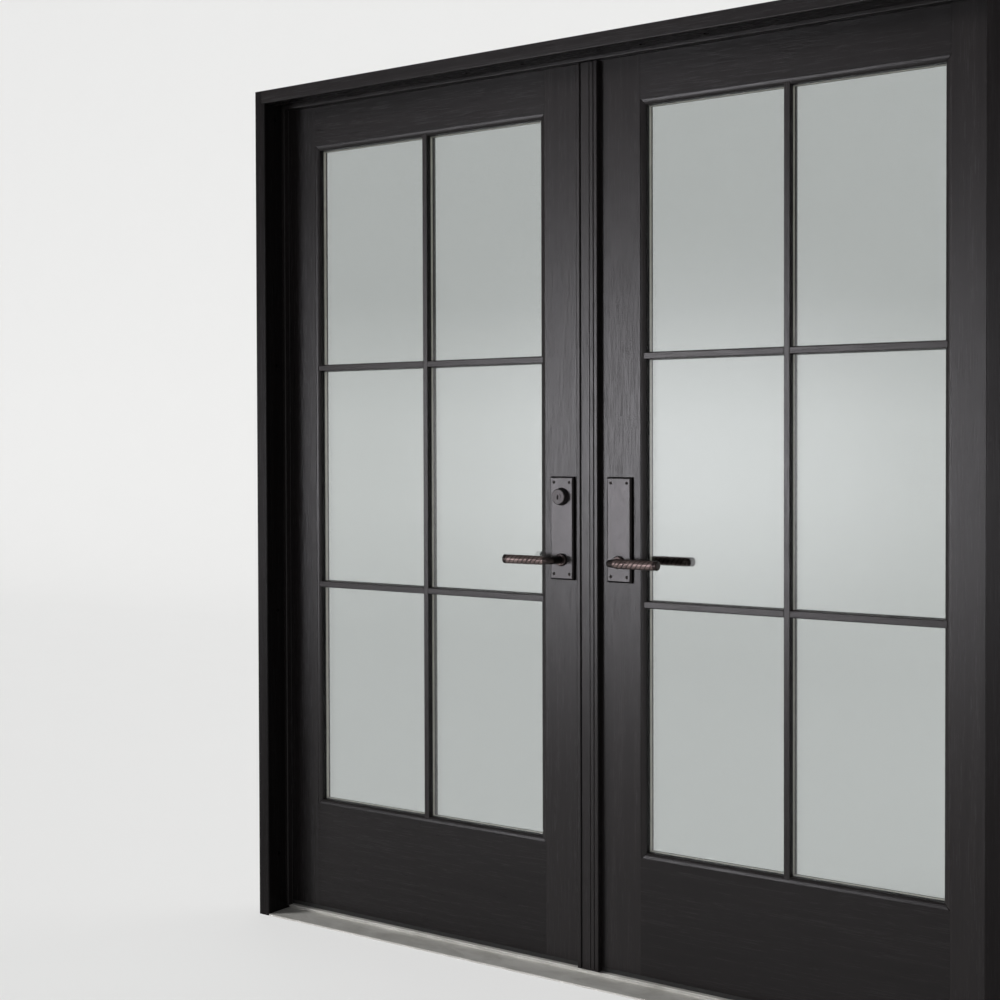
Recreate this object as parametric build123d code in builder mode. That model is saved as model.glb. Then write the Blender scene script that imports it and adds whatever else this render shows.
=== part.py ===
from build123d import *
import os

# A pair of inswing french doors in their frame. Each leaf has six lights, and the left one is the
# active leaf. Millimetres. The origin is under the sill on the centre line, in the plane of the
# leaves' outer faces: +X is to the right seen from outside, +Y goes into the room, +Z is up.
# Places across the width are given as u, the distance from the centre line, and a side of
# LEFT or RIGHT turns u into X.

os.makedirs("parts", exist_ok=True)

LEFT, RIGHT = -1, 1
OUTSIDE, INSIDE = -1, 1

# Leaves
leaf_w = 907.0
leaf_h = 1982.0
leaf_t = 44.5
hinge_stile_face = 94.0
lock_stile_face = 120.0
top_rail_face = 102.5
bottom_rail_face = 253.5
quirk = 1.0
sticking_w = 13.0
ovolo_w = 12.0
ovolo_d = 4.0
ovolo_rise = 0.6
sticking_d = 9.0
lip = 1.5
glass_bite = 12.0
tenon_l = 50.0
tenon_t = 14.0
tenon_inset = 22.0
glue_line = 0.15

# Glazing
pane_t = 4.0
cavity = 12.5
glass_edge_gap = 3.0
spacer_inset = 1.0
grid_w = 13.0
grid_t = 10.0
bar_w = 17.5
bar_front_w = 13.5
bar_d = 8.5
bar_round = 1.5
light_rows = 3
coped_gap = 0.1
bead_arris = 2.0
bead_lip = 3.0

# Gaps round the leaves
meet_gap = 10.0
side_gap = 2.5
head_gap = 3.0
sill_gap = 11.0

# Frame
jamb_t = 31.75
jamb_d = 121.5
jamb_round = 3.0
head_housing = 12.0
stop_t = 9.0
stop_d = 15.0
stop_round = 2.0
seal_gap = 3.0
seal_w = 8.0
seal_clear = 0.3

# Sill
threshold_h = 14.5
nose_h = 4.0
riser_y = -8.0
apron_h = 6.0
lip_h = 4.0
lip_reach = 3.0
lip_round = 1.5
saddle_t = 2.0

# Fixing holes through the frame
fixing_r = 3.0
fixing_head_r = 5.5
fixing_head_d = 8.0
fixing_y = -40.0
jamb_fixings = 4
jamb_fixing_low = 149.0
jamb_fixing_drop = 35.0
head_fixing_x = (-310.0, -155.0, 155.0, 310.0)

# Astragal halves
astragal_h = 14.0
seam_u = 2.95
seam_w = 1.5
flat_w = 20.8
flat_step = 1.0
groove_w = 3.0
groove_d = 4.0
bead_w = 10.0
narrow_flat_w = 8.3
crease_w = 1.8
crease_d = 1.6
narrow_bead_w = 10.0
astragal_round = 2.0
astragal_top_gap = 2.0
astragal_foot_drop = 8.5
edge_seal_w = 7.0
edge_seal_d = 6.5

# Bottom sweep
sweep_t = 2.0
sweep_y = 3.0
sweep_kerf = 6.0
sweep_end = 3.0
sweep_clear = 0.4

# Hinges
hinge_h = 101.6
hinge_t = 2.5
hinge_y = 12.0
barrel_r = 6.5
barrel_gap = 0.8
knuckles = 5
knuckle_gap = 0.3
knuckle_room = 0.4
pin_r = 3.0
pin_tip_r = 4.5
pin_tip_h = 5.0
pin_tip_edge = 1.2
running = 0.05
top_hinge_drop = 178.0
bottom_hinge_rise = 254.0
gain_gap = 0.1

# Locks
backset = 70.0
lock_mid_z = 984.5
lock_spacing = 139.7
case_w = 95.0
case_h = 230.0
case_t = 16.0
case_wall = 1.5
forend_w = 22.0
forend_h = 242.0
forend_t = 3.0
pocket_gap = 0.2
guide_gap = 0.3
strike_gap = 1.2
tongue = (36.0, 11.4, 17.4)
tongue_rise = 35.0
tongue_bevel = 9.0
deadbolt = (50.0, 12.0, 23.4)
deadbolt_drop = 30.0
rod_r = 5.0
rod_inset = 45.0
rod_reach = 14.0
rod_sill_gap = 2.5
keeper = (30.0, 24.0, 2.0)
keeper_r = 5.9
keeper_depth = 20.0

# Plates
plate_w = 62.0
plate_h = 228.6
plate_t = 9.0
plate_edge = 3.5

# Cylinder
housing_r = 15.0
collar_r = 20.0
collar_front_r = 17.0
collar_l = 14.0
collar_edge = 1.5
plug_r = 7.0
plug_proud = 1.0
keyway_w = 1.4
keyway_h = 9.0
keyway_d = 18.0
keyway_drop = 1.5
tail_r = 3.0
cam_r = 10.0
cam_t = 8.0
stem_r = 6.0
turn_rose_r = 16.0
turn_rose_t = 4.0
turn_l = 34.0
turn_w = 14.0
turn_t = 7.0

# Levers
lever_reach = 52.0
lever_l = 126.0
hub_r = 9.0
hub_gap = 0.4
rose_r = 14.0
rose_t = 7.0
rose_edge = 2.0
neck_r = 8.0
elbow_r = 11.0
grip_r = 8.7
grip_end_r = 9.6
grip_swell = 5.0
cap_l = 9.0
cap_r = 10.2
spindle_w = 8.0
spindle_in = 16.0
follower_r = 12.0
follower_t = 9.0

# Places that follow from the sizes above
lock_u = meet_gap / 2
hinge_u = lock_u + leaf_w
jamb_u = hinge_u + side_gap
unit_u = jamb_u + jamb_t
stop_u = jamb_u - stop_t
leaf_z = threshold_h + sill_gap
leaf_top = leaf_z + leaf_h
head_z = leaf_top + head_gap
unit_h = head_z + jamb_t
stop_z = head_z - stop_t
jamb_fixing_pitch = (head_z - jamb_fixing_drop - jamb_fixing_low) / (jamb_fixings - 1)
front_y = leaf_t - jamb_d
stop_y = -seal_gap - stop_d
glass_y = sticking_d + lip
inner_pane_y = glass_y + pane_t + cavity
room_glass_y = inner_pane_y + pane_t
rail_mid_y = (glass_y + leaf_t) / 2
light_u0 = lock_u + lock_stile_face + sticking_w
light_u1 = hinge_u - hinge_stile_face - sticking_w
light_z0 = leaf_z + bottom_rail_face + sticking_w
light_z1 = leaf_top - top_rail_face - sticking_w
light_u = (light_u0 + light_u1) / 2
light_z = (light_z0 + light_z1) / 2
light_w = light_u1 - light_u0
light_h = light_z1 - light_z0
glass_edge = glass_bite - glass_edge_gap
row_z = [light_z0 + light_h * row / light_rows for row in range(1, light_rows)]
pin_u = (hinge_u + jamb_u) / 2
pin_y = leaf_t + barrel_r + barrel_gap
hinge_z = [
    leaf_z + bottom_hinge_rise,
    (leaf_z + bottom_hinge_rise + leaf_top - top_hinge_drop) / 2,
    leaf_top - top_hinge_drop,
]
knuckle_h = hinge_h / knuckles
case_y = leaf_t / 2
case_u = lock_u + forend_t
spindle_u = lock_u + backset
lever_z = lock_mid_z - lock_spacing / 2
cylinder_z = lock_mid_z + lock_spacing / 2
tongue_z = lever_z + tongue_rise
deadbolt_z = cylinder_z - deadbolt_drop
rod_u = lock_u + rod_inset
case_z0 = lock_mid_z - case_h / 2
case_z1 = lock_mid_z + case_h / 2
plate_faces = {OUTSIDE: 0.0, INSIDE: leaf_t}
bar_reach = {OUTSIDE: sticking_w, INSIDE: glass_edge}
front_group = {OUTSIDE: 0, INSIDE: -1}


def save(part, name):
    """Name a finished piece and write it."""
    part.label = name
    export_step(part, f"parts/{name}.step")
    return part


def space(side, u, y, z, mode=Mode.SUBTRACT):
    """A rectangular space between limits in u, Y and Z, cut from the part being built or added to it."""
    with Locations((side * (u[0] + u[1]) / 2, (y[0] + y[1]) / 2, (z[0] + z[1]) / 2)):
        Box(u[1] - u[0], y[1] - y[0], z[1] - z[0], mode=mode)


def round_bar(start, along, length, radius, mode=Mode.SUBTRACT):
    """A round bar or bore from a start point along a direction."""
    with Locations(Plane(origin=start, z_dir=along)):
        Cylinder(radius, length, align=(Align.CENTER, Align.CENTER, Align.MIN), mode=mode)


def facade(y):
    """A plane parallel to the leaves' faces, drawn in X and Z. A negative extrusion goes into the room."""
    return Plane.XZ.offset(-y)


def about(middle, half):
    """The limits half to each side of the middle."""
    return middle - half, middle + half


def framing_section(face, place):
    """A stile's or rail's section, from the leaf's edge inwards: the flat, a quirk, a flat ovolo that
    falls steeply to the glass, and the glazing rabbet behind it. place puts a depth and a Y in the sketch."""
    sight = face + sticking_w
    low = (face, quirk)
    high = (face + ovolo_w, ovolo_d)
    crest = ((low[0] + high[0]) / 2, (low[1] + high[1]) / 2 - ovolo_rise)
    ThreePointArc(place(*low), place(*crest), place(*high))
    Polyline(
        place(*high),
        place(sight, sticking_d),
        place(sight, glass_y),
        place(sight - glass_bite, glass_y),
        place(sight - glass_bite, leaf_t),
        place(0, leaf_t),
        place(0, 0),
        place(face, 0),
        place(*low),
    )


def rail_tenon(edge_z, inwards, face):
    """The Z limits of a rail's tenon."""
    ends = edge_z + inwards * tenon_inset, edge_z + inwards * (face - tenon_inset)
    return min(ends), max(ends)


tenons = [
    rail_tenon(leaf_z, 1, bottom_rail_face),
    rail_tenon(leaf_top, -1, top_rail_face),
]


def make_stile(side, edge_u, inwards, face):
    """A plain stile with its mortises and the kerf for the sweep."""
    with BuildPart() as stile:
        with BuildSketch(Plane.XY.offset(leaf_z)):
            with BuildLine():
                framing_section(face, lambda depth, y: (side * (edge_u + inwards * depth), y))
            make_face()
        extrude(amount=leaf_h)
        ends = edge_u + inwards * (face - tenon_l - glue_line), edge_u + inwards * (face + sticking_w)
        for z0, z1 in tenons:
            mortise_z = (z0 - glue_line, z1 + glue_line)
            space(side, sorted(ends), about(rail_mid_y, tenon_t / 2 + glue_line), mortise_z)
        kerf_z = (leaf_z, leaf_z + sweep_kerf)
        space(side, (lock_u, hinge_u), (sweep_y, sweep_y + sweep_t), kerf_z)
    return stile.part


def make_hinge_stile(side):
    """The stile at the jamb, with gains for the hinge leaves."""
    with BuildPart() as stile:
        add(make_stile(side, hinge_u, -1, hinge_stile_face))
        for z in hinge_z:
            gain_z = about(z, hinge_h / 2 + gain_gap)
            space(side, (hinge_u - hinge_t, hinge_u), (hinge_y - gain_gap, leaf_t), gain_z)
    return stile.part


def make_lock_stile(side):
    """The stile at the meeting line, mortised for the lock case and bored for what works it."""
    with BuildPart() as stile:
        add(make_stile(side, lock_u, 1, lock_stile_face))
        forend_y = about(case_y, forend_w / 2 + pocket_gap)
        space(side, (lock_u, case_u), forend_y, about(lock_mid_z, forend_h / 2 + pocket_gap))
        pocket_u = (lock_u, case_u + case_w + pocket_gap)
        pocket_z = about(lock_mid_z, case_h / 2 + pocket_gap)
        space(side, pocket_u, about(case_y, case_t / 2 + pocket_gap), pocket_z)
        round_bar((side * spindle_u, 0, lever_z), (0, 1, 0), leaf_t, hub_r + hub_gap)
        if side == LEFT:
            round_bar((side * spindle_u, 0, cylinder_z), (0, 1, 0), case_y, housing_r + hub_gap)
            round_bar((side * spindle_u, case_y, cylinder_z), (0, 1, 0), case_y, stem_r + hub_gap)
        else:
            start = (side * rod_u, case_y, leaf_z)
            round_bar(start, (0, 0, 1), leaf_h, rod_r + guide_gap)
    return stile.part


def make_rail(side, edge_z, inwards, face, stiles):
    """A rail between the stiles, tenoned into them and coped over their sticking."""
    ends = sorted((side * (lock_u + lock_stile_face), side * (hinge_u - hinge_stile_face)))
    with BuildPart() as rail:
        with BuildSketch(Plane.YZ.offset(ends[0])):
            with BuildLine():
                framing_section(face, lambda depth, y: (y, edge_z + inwards * depth))
            make_face()
        extrude(amount=ends[1] - ends[0])
        tenon_u = (lock_u + lock_stile_face - tenon_l, hinge_u - hinge_stile_face + tenon_l)
        tenon_z = rail_tenon(edge_z, inwards, face)
        space(side, tenon_u, about(rail_mid_y, tenon_t / 2), tenon_z, mode=Mode.ADD)
        kerf_z = (leaf_z, leaf_z + sweep_kerf)
        space(side, (lock_u, hinge_u), (sweep_y, sweep_y + sweep_t), kerf_z)
        for stile in stiles:
            add(stile, mode=Mode.SUBTRACT)
    return rail.part


def make_pane(side, y):
    """A sheet of glass whose outer face is at y."""
    with BuildPart() as pane:
        with BuildSketch(facade(y)):
            with Locations((side * light_u, light_z)):
                Rectangle(light_w + 2 * glass_edge, light_h + 2 * glass_edge)
        extrude(amount=-pane_t)
    return pane.part


def make_spacer(side):
    """The frame that holds the panes apart, with the grid that lies between them."""
    with BuildPart() as spacer:
        with BuildSketch(facade(glass_y + pane_t)):
            with Locations((side * light_u, light_z)):
                outer = glass_edge - spacer_inset
                Rectangle(light_w + 2 * outer, light_h + 2 * outer)
                Rectangle(light_w, light_h, mode=Mode.SUBTRACT)
        extrude(amount=-cavity)
        with BuildSketch(facade(glass_y + pane_t + (cavity - grid_t) / 2)):
            with Locations((side * light_u, light_z)):
                Rectangle(grid_w, light_h)
            with Locations(*[(side * light_u, z) for z in row_z]):
                Rectangle(light_w, grid_w)
        extrude(amount=-grid_t)
    return spacer.part


def bar_outline(middle, face_y, out, grow=0.0):
    """A glazing bar's section across its middle line, standing on the glass at face_y."""
    slope = (bar_w - bar_front_w) / 2 / bar_d
    back = bar_w / 2 + grow * (1 + slope)
    front = bar_front_w / 2 + grow * (1 - slope)
    return [
        (middle - back, face_y - out * grow),
        (middle - front, face_y + out * (bar_d + grow)),
        (middle + front, face_y + out * (bar_d + grow)),
        (middle + back, face_y - out * grow),
    ]


def make_upright(side, face_y, out):
    """The bar that runs from rail to rail."""
    reach = bar_reach[out]
    with BuildPart() as upright:
        with BuildSketch(Plane.XY.offset(light_z0 - reach)) as section:
            with BuildLine():
                Polyline(*bar_outline(side * light_u, face_y, out), close=True)
            make_face()
            fillet(section.vertices().group_by(Axis.Y)[front_group[out]], bar_round)
        extrude(amount=light_h + 2 * reach)
    return upright.part


def make_bars(side, face_y, out, surround):
    """The upright and two rows of short bars, coped to it and to the mouldings they run into."""
    reach = bar_reach[out]
    with BuildPart() as bars:
        for z in row_z:
            with BuildSketch(Plane.YZ.offset(side * light_u - light_w / 2 - reach)) as section:
                with BuildLine():
                    outline = bar_outline(z, face_y, out)
                    Polyline(*[(y, across) for across, y in outline], close=True)
                make_face()
                fillet(section.vertices().group_by(Axis.X)[front_group[out]], bar_round)
            extrude(amount=light_w + 2 * reach)
        with BuildSketch(Plane.XY.offset(light_z0)):
            with BuildLine():
                Polyline(*bar_outline(side * light_u, face_y, out, coped_gap), close=True)
            make_face()
        extrude(amount=light_h, mode=Mode.SUBTRACT)
        add(make_upright(side, face_y, out))
        for piece in surround:
            add(piece, mode=Mode.SUBTRACT)
    return bars.part


def make_beads(side):
    """Four glazing beads round the glass on the room side, mitred at the corners."""
    rabbet = glass_bite - coped_gap
    flare = rabbet - bead_arris
    with BuildPart() as beads:
        with BuildSketch(facade(room_glass_y)):
            with Locations((side * light_u, light_z)):
                Rectangle(light_w + 2 * rabbet, light_h + 2 * rabbet)
                Rectangle(light_w, light_h, mode=Mode.SUBTRACT)
        extrude(amount=room_glass_y - leaf_t)
        with BuildSketch(facade(room_glass_y + bead_lip)):
            with Locations((side * light_u, light_z)):
                Rectangle(light_w, light_h)
        with BuildSketch(facade(leaf_t)):
            with Locations((side * light_u, light_z)):
                Rectangle(light_w + 2 * flare, light_h + 2 * flare)
        loft(mode=Mode.SUBTRACT)
        for across in (-1, 1):
            for up in (-1, 1):
                corner = (side * light_u + across * light_w / 2, leaf_t, light_z + up * light_h / 2)
                with Locations(Location(corner, (0, across * up * 45, 0))):
                    Box(coped_gap, leaf_t, 4 * glass_bite, mode=Mode.SUBTRACT)
    return beads.part


# Frame
def make_jamb(side):
    """A side jamb, housed for the head, with gains for the hinges and fixing holes."""
    with BuildPart() as jamb:
        with BuildSketch() as section:
            with BuildLine():
                inner, outer = side * jamb_u, side * unit_u
                corners = [(inner, front_y), (inner, leaf_t), (outer, leaf_t), (outer, front_y)]
                Polyline(*corners, close=True)
            make_face()
            front = section.vertices().group_by(Axis.Y)[0]
            fillet(front.sort_by(Axis.X)[0 if side == RIGHT else -1], jamb_round)
        extrude(amount=unit_h)
        housing_z = (head_z, unit_h)
        space(side, (jamb_u, jamb_u + head_housing), (front_y, leaf_t), housing_z)
        for z in hinge_z:
            gain_z = about(z, hinge_h / 2 + gain_gap)
            space(side, (jamb_u, jamb_u + hinge_t), (hinge_y - gain_gap, leaf_t), gain_z)
        for count in range(jamb_fixings):
            spot = (side * jamb_u, fixing_y, jamb_fixing_low + count * jamb_fixing_pitch)
            with Locations(Plane(origin=spot, z_dir=(-side, 0, 0))):
                CounterBoreHole(fixing_r, fixing_head_r, fixing_head_d, jamb_t)
    return jamb.part


def make_head():
    """The head jamb, its ends housed in the side jambs, bored for the top shoot bolt."""
    reach = jamb_u + head_housing
    with BuildPart() as head:
        with BuildSketch(Plane.YZ.offset(-reach)) as section:
            with BuildLine():
                corners = [(front_y, head_z), (leaf_t, head_z), (leaf_t, unit_h), (front_y, unit_h)]
                Polyline(*corners, close=True)
            make_face()
            fillet(section.vertices().group_by(Axis.X)[0].sort_by(Axis.Y)[0], jamb_round)
        extrude(amount=2 * reach)
        for x in head_fixing_x:
            with Locations(Plane(origin=(x, fixing_y, head_z), z_dir=(0, 0, -1))):
                CounterBoreHole(fixing_r, fixing_head_r, fixing_head_d, jamb_t)
        round_bar((rod_u, case_y, head_z), (0, 0, 1), keeper_depth, keeper_r)
        space(RIGHT, about(rod_u, keeper[0] / 2), about(case_y, keeper[1] / 2), (head_z, head_z + keeper[2]))
    return head.part


def make_stops():
    """Applied stops on the jambs and the head, with their exposed arris rounded."""
    with BuildPart() as stops:
        for side in (LEFT, RIGHT):
            with BuildSketch(Plane.XY.offset(threshold_h)) as section:
                with Locations((side * (stop_u + jamb_u) / 2, stop_y + stop_d / 2)):
                    Rectangle(stop_t, stop_d)
                front = section.vertices().group_by(Axis.Y)[0]
                fillet(front.sort_by(Axis.X)[0 if side == RIGHT else -1], stop_round)
            extrude(amount=head_z - threshold_h)
        with BuildSketch(Plane.YZ.offset(coped_gap - stop_u)) as section:
            with Locations((stop_y + stop_d / 2, (stop_z + head_z) / 2)):
                Rectangle(stop_d, stop_t)
            fillet(section.vertices().group_by(Axis.X)[0].sort_by(Axis.Y)[0], stop_round)
        extrude(amount=2 * (stop_u - coped_gap))
    return stops.part


def make_weatherstrips():
    """The seals behind the stops, which the leaves close against."""
    thick = seal_gap - seal_clear
    with BuildPart() as strips:
        for side in (LEFT, RIGHT):
            with BuildSketch(Plane.XY.offset(threshold_h)) as section:
                with Locations((side * (stop_u + seal_w / 2), -seal_gap + thick / 2)):
                    Rectangle(seal_w, thick)
                fillet(section.vertices().group_by(Axis.Y)[-1], thick / 3)
            extrude(amount=stop_z - threshold_h)
        with BuildSketch(Plane.YZ.offset(-stop_u)) as section:
            with Locations((-seal_gap + thick / 2, stop_z + seal_w / 2)):
                Rectangle(thick, seal_w)
            fillet(section.vertices().group_by(Axis.X)[-1], thick / 3)
        extrude(amount=2 * stop_u)
    return strips.part


def make_substrate():
    """The composite core of the sill, which stands on the floor."""
    core_riser_y = riser_y + lip_reach + saddle_t
    with BuildPart() as core:
        with BuildSketch(Plane.YZ.offset(-jamb_u)):
            with BuildLine():
                Polyline(
                    (front_y + saddle_t, 0),
                    (front_y + saddle_t, nose_h - saddle_t),
                    (core_riser_y, apron_h - saddle_t),
                    (core_riser_y, threshold_h - saddle_t),
                    (leaf_t - saddle_t, threshold_h - saddle_t),
                    (leaf_t - saddle_t, 0),
                    close=True,
                )
            make_face()
        extrude(amount=2 * jamb_u)
        round_bar((rod_u, case_y, 0), (0, 0, 1), threshold_h, keeper_r)
    return core.part


def make_threshold(core):
    """The aluminium saddle over the core: a weathered apron under an overhanging lip."""
    with BuildPart() as saddle:
        with BuildSketch(Plane.YZ.offset(-jamb_u)) as section:
            with BuildLine():
                Polyline(
                    (front_y, 0),
                    (front_y, nose_h),
                    (riser_y + lip_reach, apron_h),
                    (riser_y + lip_reach, threshold_h - lip_h),
                    (riser_y, threshold_h - lip_h),
                    (riser_y, threshold_h),
                    (leaf_t, threshold_h),
                    (leaf_t, 0),
                    close=True,
                )
            make_face()
            nose = section.vertices().group_by(Axis.X)[0].sort_by(Axis.Y)[-1]
            fillet(nose, saddle_t)
            lip = section.vertices().filter_by(lambda corner: abs(corner.X - riser_y) < lip_round)
            fillet(lip, lip_round)
        extrude(amount=2 * jamb_u)
        add(core, mode=Mode.SUBTRACT)
        round_bar((rod_u, case_y, 0), (0, 0, 1), threshold_h, keeper_r)
        recess_z = (threshold_h - keeper[2], threshold_h)
        space(RIGHT, about(rod_u, keeper[0] / 2), about(case_y, keeper[1] / 2), recess_z)
    return saddle.part


def make_keepers():
    """Plates let into the head and the threshold round the shoot bolts' holes."""
    with BuildPart() as plates:
        for z in (head_z, threshold_h - keeper[2]):
            keeper_z = (z, z + keeper[2])
            space(RIGHT, about(rod_u, keeper[0] / 2), about(case_y, keeper[1] / 2), keeper_z, Mode.ADD)
            round_bar((rod_u, case_y, z), (0, 0, 1), keeper[2], rod_r + guide_gap)
    return plates.part


# Hinges. The frame's leaves carry the first, third and fifth knuckles, the door's the others.
def make_hinge_leaves(sides, plate_u, own):
    """Hinge plates with their knuckles, each cut away round the knuckles of its partner."""
    with BuildPart() as leaves:
        for side in sides:
            for z in hinge_z:
                plate_z = about(z, hinge_h / 2)
                space(side, plate_u, (hinge_y, pin_y), plate_z, mode=Mode.ADD)
                for knuckle in range(knuckles):
                    low = z - hinge_h / 2 + knuckle * knuckle_h
                    if knuckle % 2 == own:
                        start = (side * pin_u, pin_y, low + knuckle_gap / 2)
                        round_bar(start, (0, 0, 1), knuckle_h - knuckle_gap, barrel_r, mode=Mode.ADD)
                    else:
                        start = (side * pin_u, pin_y, low)
                        round_bar(start, (0, 0, 1), knuckle_h, barrel_r + knuckle_room)
                start = (side * pin_u, pin_y, z - hinge_h / 2)
                round_bar(start, (0, 0, 1), hinge_h, pin_r + running)
    return leaves.part


def make_pins():
    """Loose pins with button tips."""
    with BuildPart() as pins:
        for side in (LEFT, RIGHT):
            for z in hinge_z:
                start = (side * pin_u, pin_y, z - hinge_h / 2)
                round_bar(start, (0, 0, 1), hinge_h, pin_r, mode=Mode.ADD)
                for end in (-1, 1):
                    tip = (side * pin_u, pin_y, z + end * hinge_h / 2)
                    round_bar(tip, (0, 0, end), pin_tip_h, pin_tip_r, mode=Mode.ADD)
        rims = pins.edges().filter_by(GeomType.CIRCLE)
        chamfer(rims.filter_by(lambda rim: abs(rim.radius - pin_tip_r) < pin_tip_edge), pin_tip_edge)
    return pins.part


# Meeting line
def make_wide_astragal():
    """The active leaf's half: a flat that covers the gap, a groove and a rounded bead."""
    seam = seam_u - seam_w / 2
    flat = seam - flat_w
    edge = flat - groove_w - bead_w
    low = -(astragal_h - flat_step)
    with BuildPart() as strip:
        with BuildSketch(Plane.XY.offset(leaf_z - astragal_foot_drop)) as section:
            with BuildLine():
                Polyline(
                    (seam, 0),
                    (seam, low),
                    (flat, low),
                    (flat, low + groove_d),
                    (flat - groove_w, low + groove_d),
                    (flat - groove_w, -astragal_h),
                    (edge, -astragal_h),
                    (edge, 0),
                    close=True,
                )
            make_face()
            crest = section.vertices().group_by(Axis.Y)[0]
            fillet(crest, astragal_round)
        extrude(amount=stop_z - astragal_top_gap - leaf_z + astragal_foot_drop)
    return strip.part


def make_narrow_astragal():
    """The passive leaf's half: a narrow flat, a crease and a rounded bead."""
    seam = seam_u + seam_w / 2
    crease = seam + narrow_flat_w
    bead = crease + crease_w
    low = -(astragal_h - flat_step)
    with BuildPart() as strip:
        with BuildSketch(Plane.XY.offset(leaf_z - astragal_foot_drop)) as section:
            with BuildLine():
                Polyline(
                    (seam, 0),
                    (seam, low),
                    (crease, low),
                    (crease, low + crease_d),
                    (bead, low + crease_d),
                    (bead, -astragal_h),
                    (bead + narrow_bead_w, -astragal_h),
                    (bead + narrow_bead_w, 0),
                    close=True,
                )
            make_face()
            fillet(section.vertices().group_by(Axis.Y)[0], astragal_round)
        extrude(amount=stop_z - astragal_top_gap - leaf_z + astragal_foot_drop)
    return strip.part


def make_edge_seal():
    """The bulb seal on the active leaf's lock edge, behind the astragal."""
    with BuildPart() as seal:
        with BuildSketch(Plane.XY.offset(leaf_z)) as section:
            with Locations((-lock_u + edge_seal_w / 2, edge_seal_d / 2 + coped_gap)):
                Rectangle(edge_seal_w, edge_seal_d)
            fillet(section.vertices().group_by(Axis.X)[-1], edge_seal_d / 3)
        extrude(amount=leaf_h)
    return seal.part


def make_sweep(side):
    """A fin in the leaf's bottom kerf that closes on the threshold."""
    with BuildPart() as sweep:
        fin_u = (lock_u + sweep_end, hinge_u - sweep_end)
        fin_z = (threshold_h + sweep_clear, leaf_z + sweep_kerf)
        space(side, fin_u, (sweep_y, sweep_y + sweep_t), fin_z, mode=Mode.ADD)
    return sweep.part


# Locks
def make_lock_case(side):
    """A hollow case with its forend. The passive leaf's takes the tongue and bolt, and guides the rods."""
    gap = guide_gap if side == LEFT else strike_gap
    with BuildPart() as case:
        case_span = (case_u, case_u + case_w)
        space(side, case_span, about(case_y, case_t / 2), (case_z0, case_z1), mode=Mode.ADD)
        forend_z = about(lock_mid_z, forend_h / 2)
        space(side, (lock_u, case_u), about(case_y, forend_w / 2), forend_z, mode=Mode.ADD)
        hollow_u = (case_u + case_wall, case_u + case_w - case_wall)
        hollow_y = about(case_y, case_t / 2 - case_wall)
        space(side, hollow_u, hollow_y, (case_z0 + case_wall, case_z1 - case_wall))
        for z, bolt in ((tongue_z, tongue), (deadbolt_z, deadbolt)):
            mouth_y = about(case_y, bolt[1] / 2 + gap)
            space(side, (lock_u, case_u + case_wall), mouth_y, about(z, bolt[2] / 2 + gap))
        round_bar((side * spindle_u, 0, lever_z), (0, 1, 0), leaf_t, hub_r)
        if side == LEFT:
            round_bar((side * spindle_u, 0, cylinder_z), (0, 1, 0), leaf_t, tail_r + hub_gap)
        else:
            round_bar((side * rod_u, case_y, case_z0), (0, 0, 1), case_h, rod_r + guide_gap)
    return case.part


def make_tongue():
    """The latch tongue, bevelled on the side that meets the strike, flush with the forend."""
    front = -lock_u
    with BuildPart() as bolt:
        with BuildSketch(Plane.XY.offset(tongue_z - tongue[2] / 2)):
            with BuildLine():
                y0, y1 = about(case_y, tongue[1] / 2)
                Polyline(
                    (front, y1),
                    (front, y0 + tongue_bevel),
                    (front - tongue_bevel, y0),
                    (front - tongue[0], y0),
                    (front - tongue[0], y1),
                    close=True,
                )
            make_face()
        extrude(amount=tongue[2])
    return bolt.part


def make_deadbolt():
    """The deadbolt, thrown by the thumbturn or the key."""
    with BuildPart() as bolt:
        bolt_y = about(case_y, deadbolt[1] / 2)
        bolt_z = about(deadbolt_z, deadbolt[2] / 2)
        space(LEFT, (lock_u, lock_u + deadbolt[0]), bolt_y, bolt_z, mode=Mode.ADD)
        chamfer(bolt.edges().filter_by(Axis.Z).group_by(Axis.X)[-1], 1)
    return bolt.part


def make_rod(z0, z1):
    """A shoot bolt's rod."""
    with BuildPart() as rod:
        round_bar((rod_u, case_y, z0), (0, 0, 1), z1 - z0, rod_r, mode=Mode.ADD)
        chamfer(rod.edges().filter_by(GeomType.CIRCLE), 1)
    return rod.part


def make_plate(side, out):
    """An escutcheon plate with a bevelled front edge."""
    face = plate_faces[out]
    with BuildPart() as plate:
        with BuildSketch(facade(face)):
            with Locations((side * spindle_u, lock_mid_z)):
                Rectangle(plate_w, plate_h)
        extrude(amount=-out * plate_t)
        front = plate.faces().sort_by(Axis.Y)[-1 if out == INSIDE else 0]
        chamfer(front.edges(), plate_edge)
        round_bar((side * spindle_u, face, lever_z), (0, out, 0), plate_t, hub_r + hub_gap)
        if side == LEFT:
            radius = housing_r if out == OUTSIDE else stem_r
            round_bar((side * spindle_u, face, cylinder_z), (0, out, 0), plate_t, radius + hub_gap)
    return plate.part


def make_housing():
    """The key cylinder's housing and collar, turned about the cylinder's axis."""
    centre = (LEFT * spindle_u, 0, cylinder_z)
    tip = -plate_t - collar_l
    with BuildPart() as housing:
        with BuildSketch(Plane(origin=centre, x_dir=(1, 0, 0), z_dir=(0, 0, 1))):
            with BuildLine():
                Polyline(
                    (plug_r + running, case_y - case_t / 2),
                    (housing_r, case_y - case_t / 2),
                    (housing_r, -plate_t),
                    (collar_r, -plate_t),
                    (collar_front_r, tip + collar_edge),
                    (collar_front_r - collar_edge, tip),
                    (plug_r + running, tip),
                    close=True,
                )
            make_face()
        revolve(axis=Axis(centre, (0, 1, 0)))
    return housing.part


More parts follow.
